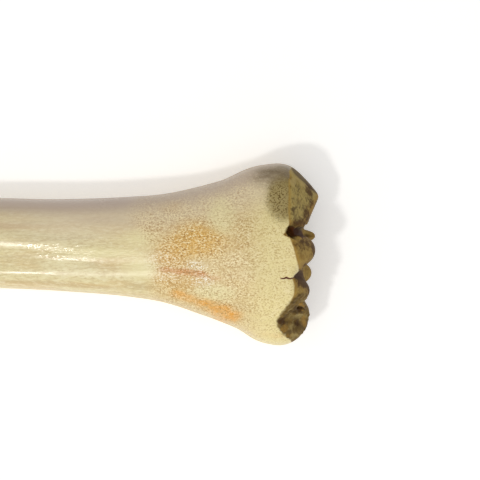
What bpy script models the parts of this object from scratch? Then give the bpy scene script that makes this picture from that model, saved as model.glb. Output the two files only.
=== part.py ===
"""Leg bone of a giraffe, one grown piece, lying on its front face with its carpal end at +X."""

import math

import bmesh
import bpy
import numpy as np

# All sizes are in millimetres, and the mesh is scaled to metres as it is made
MM = 0.001

# Sections along the bone: x, lowest y, highest y, lowest z, highest z, squareness on the +Y and -Y side
SECTIONS = (
    (-266, -35.5, 36.0, 3.0, 44.0, 2.5, 2.5),
    (-256, -38.5, 38.6, -0.8, 47.0, 2.6, 2.6),
    (-240, -36.6, 38.0, 0.4, 47.2, 2.5, 2.5),
    (-220, -30.0, 34.2, 3.0, 45.0, 2.4, 2.4),
    (-195, -23.6, 30.2, 4.6, 41.6, 2.3, 2.4),
    (-160, -18.4, 27.6, 5.4, 38.8, 2.3, 2.4),
    (-110, -14.4, 26.4, 5.4, 36.4, 2.3, 2.5),
    (-50, -12.0, 25.8, 5.2, 34.8, 2.3, 2.7),
    (10, -11.2, 25.2, 5.4, 34.4, 2.3, 3.0),
    (70, -12.0, 24.8, 6.6, 35.4, 2.3, 3.3),
    (132, -14.4, 24.4, 8.4, 37.6, 2.3, 3.4),
    (160, -16.1, 24.0, 9.2, 39.4, 2.3, 3.4),
    (188, -18.4, 24.9, 9.0, 42.6, 2.3, 3.2),
    (205, -21.2, 26.3, 7.8, 45.3, 2.35, 3.0),
    (219, -25.8, 29.2, 6.0, 48.1, 2.5, 2.8),
    (232, -30.8, 32.9, 3.0, 50.6, 2.7, 2.7),
    (244, -36.0, 36.6, 0.0, 53.0, 2.9, 2.9),
    (254, -38.8, 38.2, -1.2, 53.5, 3.0, 3.0),
)
SIDE_BLEND = 6.0
WIDEST_LEVEL = 0.48
CARPAL_CAP = (249.0, 15.0)
ELBOW_CAP = (-254.0, 14.1)

# Swellings: centre, radii, lean about x in degrees, blend
LOBES = (
    ((250.0, 22.0, 25.0), (22.0, 16.4, 24.0), 0.0, 4.0),
    ((252.4, 2.0, 31.0), (16.4, 9.2, 25.0), 7.0, 2.0),
    ((250.6, -15.4, 31.0), (15.8, 8.2, 23.0), 3.0, 2.0),
    ((252.0, -29.6, 23.0), (14.0, 9.4, 18.0), 0.0, 4.0),
    ((264.0, 7.9, 12.0), (6.4, 2.9, 7.0), 0.0, 1.2),
    ((261.0, -8.6, 13.0), (7.7, 5.4, 8.0), 0.0, 1.4),
    ((257.5, -25.6, 22.0), (9.4, 8.0, 13.0), 0.0, 2.0),
    ((255.2, -32.2, 27.0), (7.4, 6.2, 13.0), 0.0, 2.0),
    ((254.6, 31.2, 25.0), (10.5, 7.0, 13.0), 0.0, 3.0),
    ((253.0, 21.5, 7.6), (12.0, 9.0, 8.0), 0.0, 3.0),
    ((253.0, -26.0, 7.6), (12.0, 8.0, 8.0), 0.0, 3.0),
    ((-247.0, 32.0, 25.0), (13.0, 6.4, 11.0), 0.0, 6.0),
    ((-222.0, -19.0, 11.0), (17.0, 10.0, 8.5), 0.0, 8.0),
    ((-259.0, 4.0, 9.0), (10.5, 12.0, 8.0), 0.0, 5.0),
    ((-259.0, -26.0, 28.0), (10.0, 10.0, 13.0), 0.0, 5.0),
)

# Low crests along the back of the shaft: x, y, height, half width
OUTER_CREST = (
    (-264, 13.0, 0.0, 9.0),
    (-240, 13.0, 3.0, 9.0),
    (-200, 12.6, 2.6, 8.0),
    (-150, 11.6, 2.0, 6.5),
    (-60, 9.4, 1.0, 4.6),
    (60, 7.8, 0.5, 3.4),
    (110, 7.3, 0.55, 3.0),
    (137, 6.6, 0.55, 2.9),
    (156, 4.8, 0.5, 2.8),
    (175, 1.8, 0.42, 3.0),
    (195, 1.6, 0.3, 3.2),
    (210, 1.4, 0.0, 3.4),
)
INNER_CREST = (
    (-20, -9.0, 0.0, 5.0),
    (60, -9.6, 0.7, 5.0),
    (110, -10.4, 0.9, 5.0),
    (143, -10.0, 1.1, 5.2),
    (158, -10.2, 1.0, 5.1),
    (176, -10.4, 0.8, 5.0),
    (195, -9.4, 0.5, 4.8),
    (214, -9.0, 0.0, 5.0),
)
CREST_FLOOR = 22.0

# The rim round the front of the carpal end: start, end, radius at each, blend
RIM = ((258.0, 30.0, 10.0), (258.6, -30.0, 10.0), 5.6, 6.0, 4.0)

# Worn and ground faces: a point on the face, its outward direction, edge rounding
FACES = (
    ((256.0, 0.0, 51.4), (0.05, 0.02, 1.0), 1.0),
    ((252.0, 12.0, 51.0), (0.03, 0.40, 0.92), 5.0),
    ((252.0, -19.0, 50.6), (0.0, -0.52, 0.86), 5.0),
    ((257.2, 12.0, 51.0), (0.776, 0.239, 0.583), 0.8),
    ((264.9, 33.5, 22.0), (0.72, 0.66, 0.20), 1.4),
)
OUTER_LOBE_FACES = (
    ((267.0, 16.5, 27.0), (0.90, -0.40, 0.10), 1.6),
)

# Broad hollows: centre, radii, lean about x in degrees, edge rounding
HOLLOWS = (
    ((277.0, 2.0, 19.0), (12.0, 34.0, 6.0), 0.0, 3.0),
    ((-280.0, -14.0, 24.0), (16.5, 19.0, 16.0), 0.0, 2.5),
    ((-279.0, 18.5, 25.0), (14.5, 12.5, 13.0), 0.0, 2.5),
)

# The broken corner: a point on each of its two sloping faces and the face's direction
NOTCH = (
    ((260.5, -17.9, 47.8), (0.65, -0.64, 0.41)),
    ((248.5, -28.1, 49.2), (0.789, 0.071, 0.611)),
)
NOTCH_VALLEY = 2.0
NOTCH_EDGE = 1.0

# Grooves and pits: deep end, open end, radius at each, edge rounding
GROOVES = (
    ((259.0, 9.6, 50.0), (268.2, 10.4, 16.0), 1.4, 2.8, 1.8),
    ((246.6, 7.9, 42.6), (260.4, 9.7, 49.2), 0.9, 3.4, 1.0),
    ((258.6, -9.4, 51.6), (271.2, -5.4, 24.0), 0.6, 5.8, 1.0),
    ((260.5, -21.1, 37.4), (263.6, -24.2, 39.6), 1.0, 2.5, 0.8),
    ((268.0, -20.0, 40.0), (270.0, -20.5, 16.0), 2.4, 3.6, 1.6),
    ((206.0, 9.0, 2.5), (268.0, 8.0, -3.4), 3.0, 7.0, 3.0),
    ((206.0, -12.5, 2.5), (268.0, -13.0, -3.8), 3.0, 6.4, 3.0),
    ((-196.0, 5.6, 44.2), (-128.0, 5.4, 41.0), 2.0, 2.0, 2.0),
)

# Heights of the long and the short swells of the grown surface
SWELL_HEIGHTS = (0.16, 0.07)
# No point counts as lying deeper than this inside the shaft
DEEPEST = 60.0


def smooth_rows(x, rows):
    """Values of the table's columns at x, on a smooth curve through its rows."""
    table = np.array(rows, float)
    at, values = table[:, 0], table[:, 1:]
    slopes = np.gradient(values, at, axis=0)
    x = np.clip(x, at[0], at[-1])
    i = np.clip(np.searchsorted(at, x) - 1, 0, len(at) - 2)
    step = (at[i + 1] - at[i])[:, None]
    t = (x - at[i])[:, None] / step
    low = values[i] * (1 + 2 * t) * (1 - t) ** 2 + slopes[i] * step * t * (1 - t) ** 2
    high = values[i + 1] * t**2 * (3 - 2 * t) + slopes[i + 1] * step * t**2 * (t - 1)
    return (low + high).T


def join(a, b, blend):
    """Distance to both shapes together, with a fillet where they meet."""
    near = np.maximum(blend - np.abs(a - b), 0.0) / blend
    return np.minimum(a, b) - near**2 * blend / 4


def cut(a, b, rounding):
    """Distance to the first shape with the second taken away."""
    return -join(-a, b, rounding)


def keep(a, b, rounding):
    """Distance to what lies in both shapes."""
    return -join(-a, -b, rounding)


def blob(p, centre, radii, lean):
    """Distance to an ellipsoid that leans about the x axis."""
    q = p - np.array(centre)
    c, s = math.cos(math.radians(lean)), math.sin(math.radians(lean))
    q = np.stack([q[:, 0], c * q[:, 1] + s * q[:, 2], c * q[:, 2] - s * q[:, 1]], axis=1)
    near = np.linalg.norm(q / radii, axis=1)
    slope = np.linalg.norm(q / np.square(radii), axis=1)
    return near * (near - 1) / np.maximum(slope, 1e-9)


def rod(p, start, end, start_radius, end_radius):
    """Distance to a round rod whose radius changes along it."""
    start, along = np.array(start), np.subtract(end, start)
    t = np.clip((p - start) @ along / (along @ along), 0.0, 1.0)
    away = np.linalg.norm(p - start - t[:, None] * along, axis=1)
    return away - start_radius - t * (end_radius - start_radius)


def half_space(p, point, outward):
    """Distance to everything behind a flat face."""
    outward = np.array(outward)
    return (p - np.array(point)) @ (outward / np.linalg.norm(outward))


def body(p):
    """Distance to the shaft with its two flared ends, before any lobe or hollow."""
    x, y, z = p.T
    low_y, high_y, low_z, high_z, outer_power, inner_power = smooth_rows(x, SECTIONS)
    level = low_z + WIDEST_LEVEL * (high_z - low_z)
    width = (high_y - low_y) / 2
    side = np.clip((y - low_y - width) / SIDE_BLEND, -1, 1)
    power = inner_power + (outer_power - inner_power) * (2 + 3 * side - side**3) / 4
    height = np.where(z > level, high_z - level, level - low_z)
    past_carpal = np.maximum(x - CARPAL_CAP[0], 0) / CARPAL_CAP[1]
    past_elbow = np.maximum(ELBOW_CAP[0] - x, 0) / ELBOW_CAP[1]
    length = np.where(x > 0, CARPAL_CAP[1], ELBOW_CAP[1])
    u, v = np.abs(y - low_y - width) / width, np.abs(z - level) / height
    e = past_carpal + past_elbow
    near = np.maximum((u**power + v**power + e**power) ** (1 / power), 1e-6)
    slope = np.sqrt(
        (u ** (power - 1) / width) ** 2
        + (v ** (power - 1) / height) ** 2
        + (e ** (power - 1) / length) ** 2
    ) * near ** (1 - power)
    return np.maximum((near - 1) / np.maximum(slope, 1e-3), -DEEPEST)


def outer_lobe(p):
    """Distance to the big lobe whose end is worn into sloping faces."""
    centre, radii, lean, _ = LOBES[0]
    d = blob(p, centre, radii, lean)
    for point, outward, rounding in OUTER_LOBE_FACES:
        d = keep(d, half_space(p, point, outward), rounding)
    return d


def crest(p, rows):
    """Height of a long low crest on the upper side of the shaft, in millimetres."""
    x, y, z = p.T
    middle, height, width = smooth_rows(x, rows)
    return np.where(z > CREST_FLOOR, height * np.exp(-(((y - middle) / width) ** 2)), 0.0)


def notch(p):
    """Distance to the corner that is broken out between two sloping faces."""
    upper, lower = (-half_space(p, point, outward) for point, outward in NOTCH)
    return keep(upper, lower, NOTCH_VALLEY)


def unevenness(p):
    """Small swells of a grown surface, in millimetres."""
    x, y, z = p.T
    long_swell = np.sin(x / 19 + 0.8 * np.sin(y / 9)) * np.sin(y / 8 + z / 11 + 1.0)
    short_swell = np.sin(x / 7.3 + y / 6.1 + 2.0) * np.sin(z / 5.7 - y / 9 + 0.5)
    return SWELL_HEIGHTS[0] * long_swell + SWELL_HEIGHTS[1] * short_swell


def bone(p):
    """Distance to the whole bone, negative inside it."""
    shaft = body(p) - crest(p, OUTER_CREST) - crest(p, INNER_CREST)
    d = join(shaft, outer_lobe(p), LOBES[0][3]) + unevenness(p)
    d = join(d, rod(p, *RIM[:4]), RIM[4])
    for centre, radii, lean, blend in LOBES[1:]:
        d = join(d, blob(p, centre, radii, lean), blend)
    for point, outward, rounding in FACES:
        d = keep(d, half_space(p, point, outward), rounding)
    for start, end, start_radius, end_radius, rounding in GROOVES:
        d = cut(d, rod(p, start, end, start_radius, end_radius), rounding)
    d = cut(d, notch(p), NOTCH_EDGE)
    for centre, radii, lean, rounding in HOLLOWS:
        d = cut(d, blob(p, centre, radii, lean), rounding)
    return np.maximum(d, -p[:, 2])


# The surface is found along rays that leave a point inside each end through the sides and lid of a box
CARPAL_EYE = (212.0, 3.0, 26.0)
ELBOW_EYE = (-226.0, 1.0, 23.0)
BOX_SLOPE = (0.74, 0.52)
EYE_BLEND = 60.0
RAY_START = 2.0
STEP_SHARE = 0.6
STEP_LIMITS = (-4.0, 1.0)
FLAT_BELOW = 1e-4
RAY_STEPS = 90

# How many points the box has across, up and along, and how many rings the shaft between the boxes has
CARPAL_GRID = (40, 26, 13)
ELBOW_GRID = (20, 13, 8)
FLARE_X = 204.0
FLARE_RINGS = 2
SHAFT_RINGS = 15


def edge_points(across, up):
    """The points round the edge of a grid, as shares of its half width and half height."""
    u = [2 * i / across - 1 for i in range(across)]
    v = [2 * i / up - 1 for i in range(up)]
    low, outer = [(t, -1) for t in u], [(1, t) for t in v]
    return np.array(low + outer + [(-t, 1) for t in u] + [(-1, -t) for t in v], float)


def lid_points(across, up):
    """The points inside the same grid, row by row."""
    return np.array([(2 * i / across - 1, 2 * j / up - 1) for j in range(1, up) for i in range(1, across)])


def box_rays(eye, points, share):
    """Starts and directions of the rays from an eye through box points that far along it."""
    side = math.copysign(share, eye[0])
    slopes = points * BOX_SLOPE
    directions = np.column_stack([np.full(len(points), side), slopes])
    directions /= np.linalg.norm(directions, axis=1)[:, None]
    return np.repeat(np.array([eye]), len(points), axis=0), directions


def ring_rays(x, points):
    """Starts and directions of the rays that leave the bone's axis square to it."""
    low_y, high_y, low_z, high_z = smooth_rows(np.array([x]), SECTIONS)[:4, 0]
    eye = CARPAL_EYE if x > 0 else ELBOW_EYE
    share = min(1.0, abs(x - eye[0]) / EYE_BLEND)
    middle = np.array([x, (low_y + high_y) / 2, (low_z + high_z) / 2])
    start = middle * share + np.array([x, eye[1], eye[2]]) * (1 - share)
    _, directions = box_rays(eye, points, 0.0)
    return np.repeat(start[None], len(points), axis=0), directions


def find_surface(starts, directions):
    """The first point of each ray that lies on the bone's surface."""
    reach = np.full(len(starts), RAY_START)
    for _ in range(RAY_STEPS):
        gap = bone(starts + directions * reach[:, None])
        reach -= np.clip(gap * STEP_SHARE, *STEP_LIMITS)
    return starts + directions * reach[:, None]


def ray_plan():
    """The rays of the elbow lid, of every ring from there to the carpal end, and of the carpal lid."""
    fine, coarse = edge_points(*CARPAL_GRID[:2]), edge_points(*ELBOW_GRID[:2])
    plan = [box_rays(ELBOW_EYE, lid_points(*ELBOW_GRID[:2]), 1.0)]
    for i in range(ELBOW_GRID[2], 0, -1):
        plan.append(box_rays(ELBOW_EYE, coarse, i / ELBOW_GRID[2]))
    for i in range(SHAFT_RINGS + 1):
        wave = (1 - math.cos(math.pi * i / SHAFT_RINGS)) / 2
        plan.append(ring_rays(ELBOW_EYE[0] + (FLARE_X - ELBOW_EYE[0]) * wave, coarse))
    for i in range(1, FLARE_RINGS + 1):
        plan.append(ring_rays(FLARE_X + (CARPAL_EYE[0] - FLARE_X) * i / FLARE_RINGS, fine))
    for i in range(1, CARPAL_GRID[2] + 1):
        plan.append(box_rays(CARPAL_EYE, fine, i / CARPAL_GRID[2]))
    return plan + [box_rays(CARPAL_EYE, lid_points(*CARPAL_GRID[:2]), 1.0)]


def bridge(bm, near, far):
    """Faces between two rings of points, the second of which may have twice as many points."""
    n, ratio = len(near), len(far) // len(near)
    for i in range(n):
        a, b = near[i], near[(i + 1) % n]
        if ratio == 1:
            bm.faces.new((a, b, far[(i + 1) % n], far[i]))
            continue
        c, d, e = far[2 * i], far[2 * i + 1], far[(2 * i + 2) % len(far)]
        bm.faces.new((a, d, c))
        bm.faces.new((a, b, d))
        bm.faces.new((b, e, d))


def lid(bm, edge, inside, across, up):
    """Faces of the grid that closes an end, from its edge ring and its inner points."""
    rows = [edge[: across + 1]]
    for j in range(1, up):
        inner = inside[(j - 1) * (across - 1) : j * (across - 1)]
        rows.append([edge[-j], *inner, edge[across + j]])
    rows.append(edge[across + up : 2 * across + up + 1][::-1])
    for low, high in zip(rows, rows[1:]):
        for i in range(across):
            bm.faces.new((low[i], low[i + 1], high[i + 1], high[i]))


def build_mesh():
    """The bone as rings of points bridged into one closed skin, with a grid over each end."""
    plan = ray_plan()
    points = find_surface(np.concatenate([r[0] for r in plan]), np.concatenate([r[1] for r in plan]))
    points[:, 2] = np.where(points[:, 2] < FLAT_BELOW, 0.0, points[:, 2])
    bm = bmesh.new()
    dots = [bm.verts.new(tuple(point)) for point in points * MM]
    groups, first = [], 0
    for starts, _ in plan:
        groups.append(dots[first : first + len(starts)])
        first += len(starts)
    for near, far in zip(groups[1:-2], groups[2:-1]):
        bridge(bm, near, far)
    lid(bm, groups[1], groups[0], *ELBOW_GRID[:2])
    lid(bm, groups[-2], groups[-1], *CARPAL_GRID[:2])
    bmesh.ops.recalc_face_normals(bm, faces=bm.faces)
    mesh = bpy.data.meshes.new("bone")
    bm.to_mesh(mesh)
    bm.free()
    mesh.shade_smooth()
    return mesh


# The plain finish of the solid: base colour in light values, roughness
BONE_COLOUR = (0.72, 0.60, 0.39, 1.0)
BONE_ROUGHNESS = 0.34


def bone_material():
    """Polished, faintly yellow bone."""
    material = bpy.data.materials.new("polished_bone")
    material.use_nodes = True
    shader = material.node_tree.nodes["Principled BSDF"]
    shader.inputs["Base Color"].default_value = BONE_COLOUR
    shader.inputs["Roughness"].default_value = BONE_ROUGHNESS
    shader.inputs["Metallic"].default_value = 0.0
    return material


def main():
    """Clears the scene and makes the bone."""
    for thing in list(bpy.data.objects):
        bpy.data.objects.remove(thing)
    mesh = build_mesh()
    mesh.materials.append(bone_material())
    bpy.context.scene.collection.objects.link(bpy.data.objects.new("bone", mesh))


if __name__ == "__main__":
    main()
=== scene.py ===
"""Leg bone of a giraffe: its fine surface, finish, lights and camera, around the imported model."""

import math

import bmesh
import bpy
import numpy as np
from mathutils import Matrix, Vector


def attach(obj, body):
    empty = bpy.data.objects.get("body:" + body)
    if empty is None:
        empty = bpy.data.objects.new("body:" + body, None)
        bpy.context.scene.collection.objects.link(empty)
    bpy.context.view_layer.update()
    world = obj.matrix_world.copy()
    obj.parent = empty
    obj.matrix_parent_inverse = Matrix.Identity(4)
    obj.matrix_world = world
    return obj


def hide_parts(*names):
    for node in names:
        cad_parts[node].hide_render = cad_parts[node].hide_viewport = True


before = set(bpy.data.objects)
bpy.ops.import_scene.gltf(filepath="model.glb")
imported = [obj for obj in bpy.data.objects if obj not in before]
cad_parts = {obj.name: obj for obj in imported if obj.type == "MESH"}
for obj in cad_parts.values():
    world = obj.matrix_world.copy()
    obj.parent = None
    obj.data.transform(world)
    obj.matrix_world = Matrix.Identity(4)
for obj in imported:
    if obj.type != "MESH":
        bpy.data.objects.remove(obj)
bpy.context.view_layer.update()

# The shape is worked out in millimetres, and the mesh is scaled to metres as it is made
MM = 0.001

# Sections along the bone: x, lowest y, highest y, lowest z, highest z, squareness on the +Y and -Y side
SECTIONS = (
    (-266, -35.5, 36.0, 3.0, 44.0, 2.5, 2.5),
    (-256, -38.5, 38.6, -0.8, 47.0, 2.6, 2.6),
    (-240, -36.6, 38.0, 0.4, 47.2, 2.5, 2.5),
    (-220, -30.0, 34.2, 3.0, 45.0, 2.4, 2.4),
    (-195, -23.6, 30.2, 4.6, 41.6, 2.3, 2.4),
    (-160, -18.4, 27.6, 5.4, 38.8, 2.3, 2.4),
    (-110, -14.4, 26.4, 5.4, 36.4, 2.3, 2.5),
    (-50, -12.0, 25.8, 5.2, 34.8, 2.3, 2.7),
    (10, -11.2, 25.2, 5.4, 34.4, 2.3, 3.0),
    (70, -12.0, 24.8, 6.6, 35.4, 2.3, 3.3),
    (132, -14.4, 24.4, 8.4, 37.6, 2.3, 3.4),
    (160, -16.1, 24.0, 9.2, 39.4, 2.3, 3.4),
    (188, -18.4, 24.9, 9.0, 42.6, 2.3, 3.2),
    (205, -21.2, 26.3, 7.8, 45.3, 2.35, 3.0),
    (219, -25.8, 29.2, 6.0, 48.1, 2.5, 2.8),
    (232, -30.8, 32.9, 3.0, 50.6, 2.7, 2.7),
    (244, -36.0, 36.6, 0.0, 53.0, 2.9, 2.9),
    (254, -38.8, 38.2, -1.2, 53.5, 3.0, 3.0),
)
SIDE_BLEND = 6.0
WIDEST_LEVEL = 0.48
CARPAL_CAP = (249.0, 15.0)
ELBOW_CAP = (-254.0, 14.1)

# Swellings: centre, radii, lean about x in degrees, blend
LOBES = (
    ((250.0, 22.0, 25.0), (22.0, 16.4, 24.0), 0.0, 4.0),
    ((252.4, 2.0, 31.0), (16.4, 9.2, 25.0), 7.0, 2.0),
    ((250.6, -15.4, 31.0), (15.8, 8.2, 23.0), 3.0, 2.0),
    ((252.0, -29.6, 23.0), (14.0, 9.4, 18.0), 0.0, 4.0),
    ((264.0, 7.9, 12.0), (6.4, 2.9, 7.0), 0.0, 1.2),
    ((261.0, -8.6, 13.0), (7.7, 5.4, 8.0), 0.0, 1.4),
    ((257.5, -25.6, 22.0), (9.4, 8.0, 13.0), 0.0, 2.0),
    ((255.2, -32.2, 27.0), (7.4, 6.2, 13.0), 0.0, 2.0),
    ((254.6, 31.2, 25.0), (10.5, 7.0, 13.0), 0.0, 3.0),
    ((253.0, 21.5, 7.6), (12.0, 9.0, 8.0), 0.0, 3.0),
    ((253.0, -26.0, 7.6), (12.0, 8.0, 8.0), 0.0, 3.0),
    ((-247.0, 32.0, 25.0), (13.0, 6.4, 11.0), 0.0, 6.0),
    ((-222.0, -19.0, 11.0), (17.0, 10.0, 8.5), 0.0, 8.0),
    ((-259.0, 4.0, 9.0), (10.5, 12.0, 8.0), 0.0, 5.0),
    ((-259.0, -26.0, 28.0), (10.0, 10.0, 13.0), 0.0, 5.0),
)

# Low crests along the back of the shaft: x, y, height, half width
OUTER_CREST = (
    (-264, 13.0, 0.0, 9.0),
    (-240, 13.0, 3.0, 9.0),
    (-200, 12.6, 2.6, 8.0),
    (-150, 11.6, 2.0, 6.5),
    (-60, 9.4, 1.0, 4.6),
    (60, 7.8, 0.5, 3.4),
    (110, 7.3, 0.55, 3.0),
    (137, 6.6, 0.55, 2.9),
    (156, 4.8, 0.5, 2.8),
    (175, 1.8, 0.42, 3.0),
    (195, 1.6, 0.3, 3.2),
    (210, 1.4, 0.0, 3.4),
)
INNER_CREST = (
    (-20, -9.0, 0.0, 5.0),
    (60, -9.6, 0.7, 5.0),
    (110, -10.4, 0.9, 5.0),
    (143, -10.0, 1.1, 5.2),
    (158, -10.2, 1.0, 5.1),
    (176, -10.4, 0.8, 5.0),
    (195, -9.4, 0.5, 4.8),
    (214, -9.0, 0.0, 5.0),
)
# A finer crest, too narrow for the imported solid, that catches the light as a thin streak
FINE_CREST = (
    (120, 1.2, 0.0, 1.2),
    (146, 0.6, 0.1, 1.2),
    (160, -0.6, 0.14, 1.1),
    (178, -1.5, 0.16, 1.1),
    (204, -1.6, 0.0, 1.2),
)
CREST_FLOOR = 22.0

# The rim round the front of the carpal end: start, end, radius at each, blend
RIM = ((258.0, 30.0, 10.0), (258.6, -30.0, 10.0), 5.6, 6.0, 4.0)

# Worn and ground faces: a point on the face, its outward direction, edge rounding
FACES = (
    ((256.0, 0.0, 51.4), (0.05, 0.02, 1.0), 1.0),
    ((252.0, 12.0, 51.0), (0.03, 0.40, 0.92), 5.0),
    ((252.0, -19.0, 50.6), (0.0, -0.52, 0.86), 5.0),
    ((257.2, 12.0, 51.0), (0.776, 0.239, 0.583), 0.8),
    ((264.9, 33.5, 22.0), (0.72, 0.66, 0.20), 1.4),
)
OUTER_LOBE_FACES = (
    ((267.0, 16.5, 27.0), (0.90, -0.40, 0.10), 1.6),
)

# Broad hollows: centre, radii, lean about x in degrees, edge rounding
HOLLOWS = (
    ((277.0, 2.0, 19.0), (12.0, 34.0, 6.0), 0.0, 3.0),
    ((-280.0, -14.0, 24.0), (16.5, 19.0, 16.0), 0.0, 2.5),
    ((-279.0, 18.5, 25.0), (14.5, 12.5, 13.0), 0.0, 2.5),
)

# The broken corner: a point on each of its two sloping faces and the face's direction
NOTCH = (
    ((260.5, -17.9, 47.8), (0.65, -0.64, 0.41)),
    ((248.5, -28.1, 49.2), (0.789, 0.071, 0.611)),
)
NOTCH_VALLEY = 2.0
NOTCH_EDGE = 1.0

# Grooves and pits: deep end, open end, radius at each, edge rounding
GROOVES = (
    ((259.0, 9.6, 50.0), (268.2, 10.4, 16.0), 1.4, 2.8, 1.8),
    ((246.6, 7.9, 42.6), (260.4, 9.7, 49.2), 0.9, 3.4, 1.0),
    ((258.6, -9.4, 51.6), (271.2, -5.4, 24.0), 0.6, 5.8, 1.0),
    ((260.5, -21.1, 37.4), (263.6, -24.2, 39.6), 1.0, 2.5, 0.8),
    ((268.0, -20.0, 40.0), (270.0, -20.5, 16.0), 2.4, 3.6, 1.6),
    ((206.0, 9.0, 2.5), (268.0, 8.0, -3.4), 3.0, 7.0, 3.0),
    ((206.0, -12.5, 2.5), (268.0, -13.0, -3.8), 3.0, 6.4, 3.0),
    ((-196.0, 5.6, 44.2), (-128.0, 5.4, 41.0), 2.0, 2.0, 2.0),
)

# Low rises in the broken corner: start, end, radius at each, blend
NOTCH_RISES = (
    ((260.6, -19.6, 44.0), (262.8, -21.0, 39.6), 0.8, 1.0, 0.6),
    ((262.8, -21.0, 39.6), (264.7, -24.8, 30.6), 1.0, 0.7, 0.8),
    ((258.5, -25.3, 39.0), (263.6, -24.6, 32.0), 1.3, 0.9, 1.2),
)
NOTCH_ROUGHNESS = 0.45
NOTCH_REACH = 2.5

# The crack between two lobes of the back face: its ends in x, its y, its lowest z, and the width and
# the turn per millimetre of its two waves
CRACK = (252.8, 258.8, -9.55, 46.0)
CRACK_WAVES = ((0.22, 1.9), (0.1, 5.3))
CRACK_DEPTH = 0.5
CRACK_WIDTH = 0.42
CRACK_TAPER = 3.0

# Heights of the long and the short swells of the grown surface
SWELL_HEIGHTS = (0.16, 0.07)
# No point counts as lying deeper than this inside the shaft
DEEPEST = 60.0


def smooth_rows(x, rows):
    """Values of the table's columns at x, on a smooth curve through its rows."""
    table = np.array(rows, float)
    at, values = table[:, 0], table[:, 1:]
    slopes = np.gradient(values, at, axis=0)
    x = np.clip(x, at[0], at[-1])
    i = np.clip(np.searchsorted(at, x) - 1, 0, len(at) - 2)
    step = (at[i + 1] - at[i])[:, None]
    t = (x - at[i])[:, None] / step
    low = values[i] * (1 + 2 * t) * (1 - t) ** 2 + slopes[i] * step * t * (1 - t) ** 2
    high = values[i + 1] * t**2 * (3 - 2 * t) + slopes[i + 1] * step * t**2 * (t - 1)
    return (low + high).T


def join(a, b, blend):
    """Distance to both shapes together, with a fillet where they meet."""
    near = np.maximum(blend - np.abs(a - b), 0.0) / blend
    return np.minimum(a, b) - near**2 * blend / 4


def cut(a, b, rounding):
    """Distance to the first shape with the second taken away."""
    return -join(-a, b, rounding)


def keep(a, b, rounding):
    """Distance to what lies in both shapes."""
    return -join(-a, -b, rounding)


def blob(p, centre, radii, lean):
    """Distance to an ellipsoid that leans about the x axis."""
    q = p - np.array(centre)
    c, s = math.cos(math.radians(lean)), math.sin(math.radians(lean))
    q = np.stack([q[:, 0], c * q[:, 1] + s * q[:, 2], c * q[:, 2] - s * q[:, 1]], axis=1)
    near = np.linalg.norm(q / radii, axis=1)
    slope = np.linalg.norm(q / np.square(radii), axis=1)
    return near * (near - 1) / np.maximum(slope, 1e-9)


def rod(p, start, end, start_radius, end_radius):
    """Distance to a round rod whose radius changes along it."""
    start, along = np.array(start), np.subtract(end, start)
    t = np.clip((p - start) @ along / (along @ along), 0.0, 1.0)
    away = np.linalg.norm(p - start - t[:, None] * along, axis=1)
    return away - start_radius - t * (end_radius - start_radius)


def half_space(p, point, outward):
    """Distance to everything behind a flat face."""
    outward = np.array(outward)
    return (p - np.array(point)) @ (outward / np.linalg.norm(outward))


def body(p):
    """Distance to the shaft with its two flared ends, before any lobe or hollow."""
    x, y, z = p.T
    low_y, high_y, low_z, high_z, outer_power, inner_power = smooth_rows(x, SECTIONS)
    level = low_z + WIDEST_LEVEL * (high_z - low_z)
    width = (high_y - low_y) / 2
    side = np.clip((y - low_y - width) / SIDE_BLEND, -1, 1)
    power = inner_power + (outer_power - inner_power) * (2 + 3 * side - side**3) / 4
    height = np.where(z > level, high_z - level, level - low_z)
    past_carpal = np.maximum(x - CARPAL_CAP[0], 0) / CARPAL_CAP[1]
    past_elbow = np.maximum(ELBOW_CAP[0] - x, 0) / ELBOW_CAP[1]
    length = np.where(x > 0, CARPAL_CAP[1], ELBOW_CAP[1])
    u, v = np.abs(y - low_y - width) / width, np.abs(z - level) / height
    e = past_carpal + past_elbow
    near = np.maximum((u**power + v**power + e**power) ** (1 / power), 1e-6)
    slope = np.sqrt(
        (u ** (power - 1) / width) ** 2
        + (v ** (power - 1) / height) ** 2
        + (e ** (power - 1) / length) ** 2
    ) * near ** (1 - power)
    return np.maximum((near - 1) / np.maximum(slope, 1e-3), -DEEPEST)


def outer_lobe(p):
    """Distance to the big lobe whose end is worn into sloping faces."""
    centre, radii, lean, _ = LOBES[0]
    d = blob(p, centre, radii, lean)
    for point, outward, rounding in OUTER_LOBE_FACES:
        d = keep(d, half_space(p, point, outward), rounding)
    return d


def crest(p, rows):
    """Height of a long low crest on the upper side of the shaft, in millimetres."""
    x, y, z = p.T
    middle, height, width = smooth_rows(x, rows)
    return np.where(z > CREST_FLOOR, height * np.exp(-(((y - middle) / width) ** 2)), 0.0)


def notch(p):
    """Distance to the corner that is broken out between two sloping faces."""
    upper, lower = (-half_space(p, point, outward) for point, outward in NOTCH)
    return keep(upper, lower, NOTCH_VALLEY)


def unevenness(p):
    """Small swells of a grown surface, in millimetres."""
    x, y, z = p.T
    long_swell = np.sin(x / 19 + 0.8 * np.sin(y / 9)) * np.sin(y / 8 + z / 11 + 1.0)
    short_swell = np.sin(x / 7.3 + y / 6.1 + 2.0) * np.sin(z / 5.7 - y / 9 + 0.5)
    return SWELL_HEIGHTS[0] * long_swell + SWELL_HEIGHTS[1] * short_swell


def notch_lumps(p):
    """Height of the lumps in the broken corner, in millimetres."""
    x, y, z = p.T
    share = np.clip(1 - np.abs(notch(p)) / NOTCH_REACH, 0, 1)
    lumps = np.sin(1.7 * x + 1.1 * np.sin(1.3 * y)) * np.sin(1.9 * y + 0.7 * z)
    return NOTCH_ROUGHNESS * share * lumps


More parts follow.
